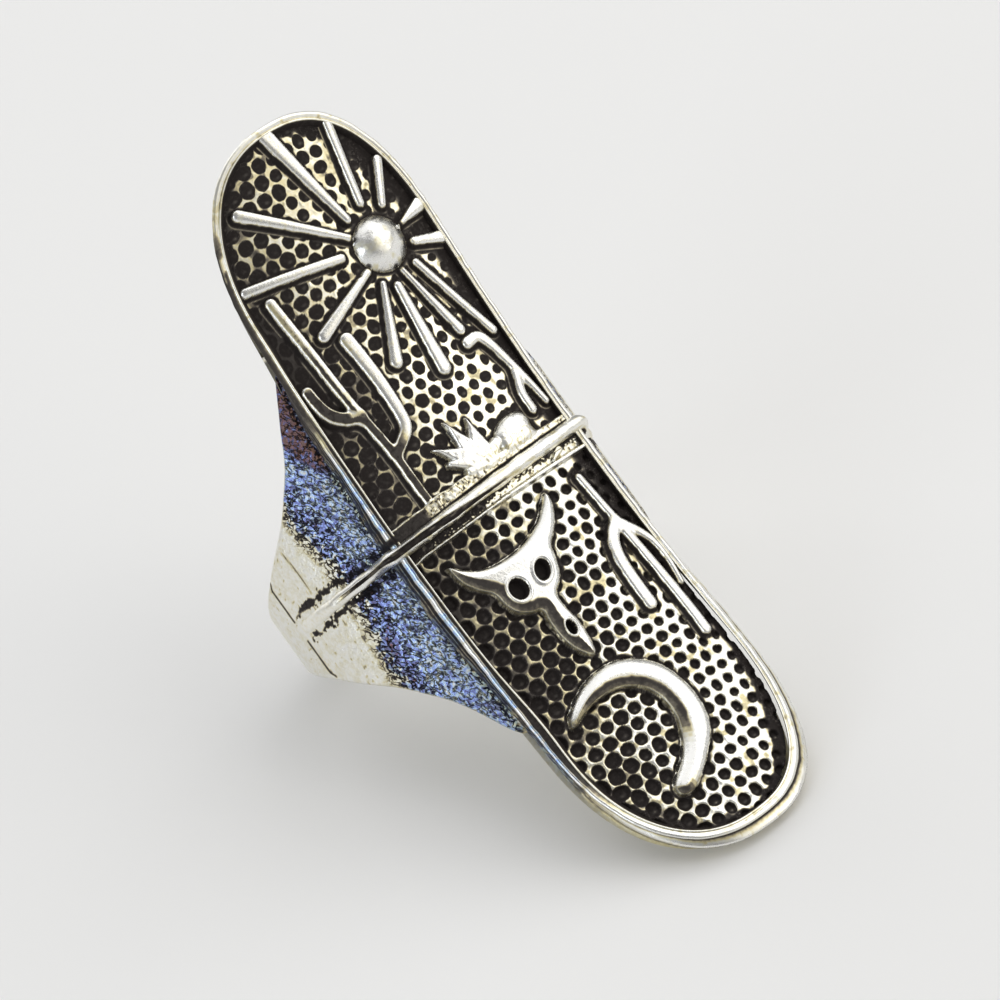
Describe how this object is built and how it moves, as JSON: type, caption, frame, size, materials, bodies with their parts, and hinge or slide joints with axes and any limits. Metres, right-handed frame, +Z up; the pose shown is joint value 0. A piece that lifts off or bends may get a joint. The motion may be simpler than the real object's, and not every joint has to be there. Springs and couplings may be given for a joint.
{
  "type": "totem ring",
  "caption": "Long oval-ended totem ring: a slim arched plaque with a raised rim and desert scenes in relief on a round band that narrows behind the finger.",
  "frame": {"origin": "centre of the bounding box, at the floor the ring rests on", "axes": "+Z up from the floor; the plaque's long axis lies in the YZ plane, its sun end up and towards +Y, its moon end on the floor towards -Y; +X across the plaque; the finger hole's axis lies in the YZ plane, 46.35 degrees above +Y"},
  "size_m": [0.0202, 0.0326, 0.0325],
  "materials": {
    "silver": "polished cast white metal with dark antiquing in the sunk parts"
  },
  "bodies": {
    "root": {"ring": "silver"}
  },
  "joints": []
}
